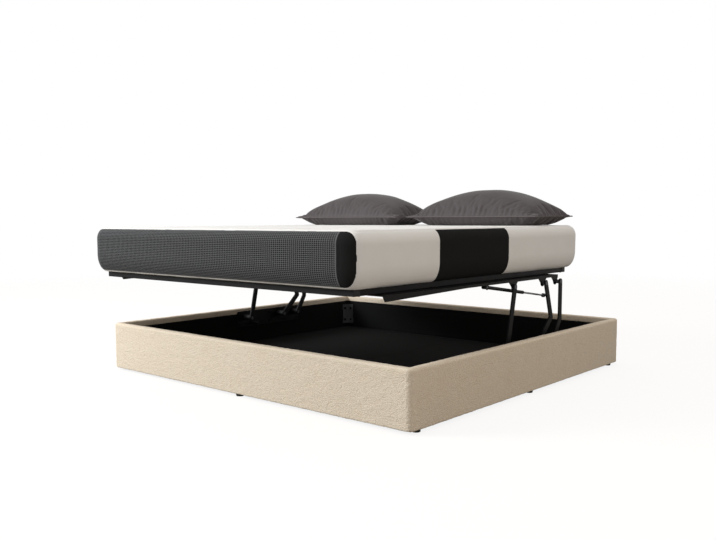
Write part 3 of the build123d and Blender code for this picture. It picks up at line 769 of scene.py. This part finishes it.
def rounded_outline(width, height, radius, steps=5):
    """Points round a rectangle with rounded corners."""
    outline = []
    for turn, (sx, sy) in enumerate(((1, 1), (-1, 1), (-1, -1), (1, -1))):
        for a in arc_steps(steps):
            angle = turn * pi / 2 + a
            outline.append((sx * (width / 2 - radius) + radius * cos(angle),
                            sy * (height / 2 - radius) + radius * sin(angle)))
    return outline


def platform_details():
    """Moulded caps in the open tube ends, and weld beads round the tube joints."""
    plastic = plastic_look("end cap plastic", (14, 14, 14), 0.5)
    bead = coated_steel_look("weld bead", (15, 15, 16), 0.5)
    for end in ("foot", "head"):
        low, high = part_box(f"platform_{end}_tube")
        middle = (low + high) / 2
        width, height = high.y - low.y, high.z - low.z
        for side, x, way in (("right", high.x, 1), ("left", low.x, -1)):
            rings = []
            for depth, inset in ((-0.001, 0.0), (0.0015, 0.0), (0.0026, 0.0008), (0.003, 0.0022)):
                outline = rounded_outline(width - 2 * inset, height - 2 * inset,
                                          CAP_CORNER_RADIUS)
                rings.append([(x + way * depth, middle.y + u, middle.z + v) for u, v in outline])
            count = len(rings[0])
            points = [p for place in range(count) for p in (ring[place] for ring in rings)]
            faces = grid_faces(count, len(rings), loop_columns=True)
            faces.append(tuple(i * len(rings) for i in range(count - 1, -1, -1)))
            faces.append(tuple(i * len(rings) + len(rings) - 1 for i in range(count)))
            cap = new_piece(f"tube_cap_{end}_{side}", points, faces, "platform")
            cap.data.set_sharp_from_angle(angle=radians(50))
            cap.data.materials.append(plastic)
    for name in ("platform_side_tube_right", "platform_side_tube_left", "platform_centre_beam"):
        low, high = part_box(name)
        middle = (low + high) / 2
        for end, y, way in (("foot", low.y, 1), ("head", high.y, -1)):
            outline = rounded_outline(high.x - low.x, high.z - low.z, TUBE_CORNER_RADIUS, 4)
            path = []
            for start, stop in zip(outline, outline[1:] + outline[:1]):
                for step in range(4):
                    share = step / 4
                    path.append((middle.x + start[0] + (stop[0] - start[0]) * share,
                                 y + way * WELD_STAND_OFF,
                                 middle.z + start[1] + (stop[1] - start[1]) * share))
            tube(f"weld_{name}_{end}", path, WELD_RADIUS, "platform", bead,
                 axis=(0.0, 1.0, 0.0))


# CAD nodes

def finish_nodes():
    black = coated_steel_look("black powder coat", (15, 15, 16), 0.42)
    looks = {
        "board_": particle_board_look("rail board", (176, 142, 100), (120, 88, 54)),
        "lining_": felt_look("lining", (15, 15, 15)),
        "floor_cleats": particle_board_look("cleats", (168, 134, 94), (122, 90, 58)),
        "floor_bearers": particle_board_look("bearers", (168, 134, 94), (122, 90, 58)),
        "floor_panel_": felt_look("floor panel", (20, 19, 19)),
        "glides": plastic_look("glide plastic", (18, 18, 18), 0.5),
        "corner_brackets": bare_steel_look("zinc", (170, 172, 176), 0.38, 60.0),
        "corner_bolts": bare_steel_look("black bolt", (40, 40, 42), 0.42, 200.0),
        "plate_bolts_": bare_steel_look("black plate bolt", (40, 40, 42), 0.42, 200.0),
        "arm_bolts_": bare_steel_look("black arm bolt", (40, 40, 42), 0.42, 200.0),
        "base_pins_": bare_steel_look("pin steel", (120, 122, 126), 0.3, 120.0),
        "arm_pins_": bare_steel_look("arm pin steel", (120, 122, 126), 0.3, 120.0),
        "spring_foot_stud_": bare_steel_look("stud steel", (120, 122, 126), 0.3, 120.0),
        "spring_knob_": plastic_look("knob", (20, 20, 20), 0.4),
        "spring_tube_": coated_steel_look("spring paint", (20, 20, 21), 0.3),
        "spring_rod_": bare_steel_look("spring rod steel", (205, 207, 210), 0.15, 240.0),
        "slats_": plywood_look(),
        "slat_caps_": plastic_look("cap plastic", (22, 22, 23), 0.5),
    }
    for name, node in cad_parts.items():
        if node.hide_render:
            continue
        look = next((m for prefix, m in looks.items() if name.startswith(prefix)), black)
        if not node.material_slots:
            node.data.materials.append(look)
        for slot in node.material_slots:
            slot.material = look


# Stage

def white_stage():
    world = bpy.data.worlds.new("white surround")
    bpy.context.scene.world = world
    world.use_nodes = True
    nodes, links = world.node_tree.nodes, world.node_tree.links
    lit = nodes["Background"]
    lit.inputs["Color"].default_value = (1.0, 0.87, 0.73, 1)
    lit.inputs["Strength"].default_value = 0.18
    seen = nodes.new("ShaderNodeBackground")
    seen.inputs["Color"].default_value = (1, 1, 1, 1)
    rays = nodes.new("ShaderNodeLightPath")
    camera_or_glossy = nodes.new("ShaderNodeMath")
    camera_or_glossy.operation = "MAXIMUM"
    links.new(rays.outputs["Is Camera Ray"], camera_or_glossy.inputs[0])
    either = nodes.new("ShaderNodeMath")
    either.operation = "MAXIMUM"
    links.new(rays.outputs["Is Transmission Ray"], either.inputs[0])
    links.new(camera_or_glossy.outputs[0], either.inputs[1])
    blend = nodes.new("ShaderNodeMixShader")
    links.new(either.outputs[0], blend.inputs[0])
    links.new(lit.outputs[0], blend.inputs[1])
    links.new(seen.outputs[0], blend.inputs[2])
    links.new(blend.outputs[0], nodes["World Output"].inputs["Surface"])


def pale_floor():
    radius = 12.0
    mesh = bpy.data.meshes.new("floor")
    corners = [(radius * cos(a), radius * sin(a), 0) for a in np.linspace(0, 2 * pi, 65)[:-1]]
    mesh.from_pydata(corners, [], [tuple(range(64))])
    floor = bpy.data.objects.new("floor", mesh)
    bpy.context.scene.collection.objects.link(floor)
    material = bpy.data.materials.new("pale floor")
    material.use_nodes = True
    nodes, links = material.node_tree.nodes, material.node_tree.links
    shader = nodes["Principled BSDF"]
    shader.inputs["Base Color"].default_value = (0.18, 0.165, 0.147, 1)
    shader.inputs["Roughness"].default_value = 0.9
    shader.inputs["Specular IOR Level"].default_value = 0.0
    rays = nodes.new("ShaderNodeLightPath")
    lift = nodes.new("ShaderNodeMath")
    lift.operation = "MULTIPLY"
    links.new(rays.outputs["Is Camera Ray"], lift.inputs[0])
    lift.inputs[1].default_value = 0.86
    shader.inputs["Emission Color"].default_value = (1, 1, 1, 1)
    links.new(lift.outputs[0], shader.inputs["Emission Strength"])
    place = nodes.new("ShaderNodeTexCoord")
    reach = nodes.new("ShaderNodeVectorMath")
    reach.operation = "LENGTH"
    links.new(place.outputs["Object"], reach.inputs[0])
    fade = nodes.new("ShaderNodeMapRange")
    links.new(reach.outputs["Value"], fade.inputs[0])
    fade.inputs[1].default_value = 4.0
    fade.inputs[2].default_value = 9.0
    clear = nodes.new("ShaderNodeBsdfTransparent")
    blend = nodes.new("ShaderNodeMixShader")
    links.new(fade.outputs[0], blend.inputs[0])
    links.new(shader.outputs[0], blend.inputs[1])
    links.new(clear.outputs[0], blend.inputs[2])
    links.new(blend.outputs[0], nodes["Material Output"].inputs["Surface"])
    mesh.materials.append(material)


def area_light(name, place, aim, size, power, color):
    lamp = bpy.data.lights.new(name, "AREA")
    lamp.shape = "RECTANGLE"
    lamp.size, lamp.size_y = size
    lamp.energy = power
    lamp.color = color
    light = bpy.data.objects.new(name, lamp)
    light.location = place
    light.rotation_mode = "QUATERNION"
    light.rotation_quaternion = (Vector(aim) - Vector(place)).to_track_quat("-Z", "Y")
    bpy.context.scene.collection.objects.link(light)


def lamps():
    area_light("key", (-4.5, -5.5, 3.4), (0, -0.3, 0.4), (3.0, 2.4), 470, (0.94, 0.98, 1.0))
    area_light("top", (-0.6, -0.4, 4.8), (0, 0, 0.5), (3.5, 3.5), 30, (1.0, 1.0, 1.0))
    area_light("fill", (5.0, -1.0, 1.6), (0, 0, 0.4), (2.5, 2.0), 18, (1.0, 0.80, 0.55))


def photo_camera():
    """The photograph's camera: its turn, tilt and roll, its focal length in pixels and its centre."""
    yaw, pitch, roll = radians(42.175), radians(4.944), radians(-0.248)
    focal, middle_x, middle_y, width, height = 776.76, 331.47, 285.12, 716, 540
    forward = Vector((-sin(yaw) * cos(pitch), cos(yaw) * cos(pitch), -sin(pitch)))
    right = Vector((cos(yaw), sin(yaw), 0))
    up = right.cross(forward)
    turned_right = right * cos(roll) + up * sin(roll)
    turned_up = up * cos(roll) - right * sin(roll)
    data = bpy.data.cameras.new("camera")
    camera = bpy.data.objects.new("camera", data)
    bpy.context.scene.collection.objects.link(camera)
    matrix = Matrix((turned_right, turned_up, -forward)).transposed().to_4x4()
    matrix.translation = Vector((2.962, -3.604, 0.900))
    camera.matrix_world = matrix
    data.sensor_width = 36
    data.lens = focal / width * data.sensor_width
    data.shift_x = (width / 2 - middle_x) / width
    data.shift_y = (middle_y - height / 2) / width
    bpy.context.scene.camera = camera


photo_camera()
base_covers()
make_mattress()
sateen, cord = sateen_look(), piping_look()
for seed, side in enumerate(("right", "left")):
    make_pillow(side, sateen, cord, 11.0 * seed)
platform_details()
finish_nodes()
white_stage()
pale_floor()
lamps()
bpy.context.scene.view_settings.view_transform = "Standard"
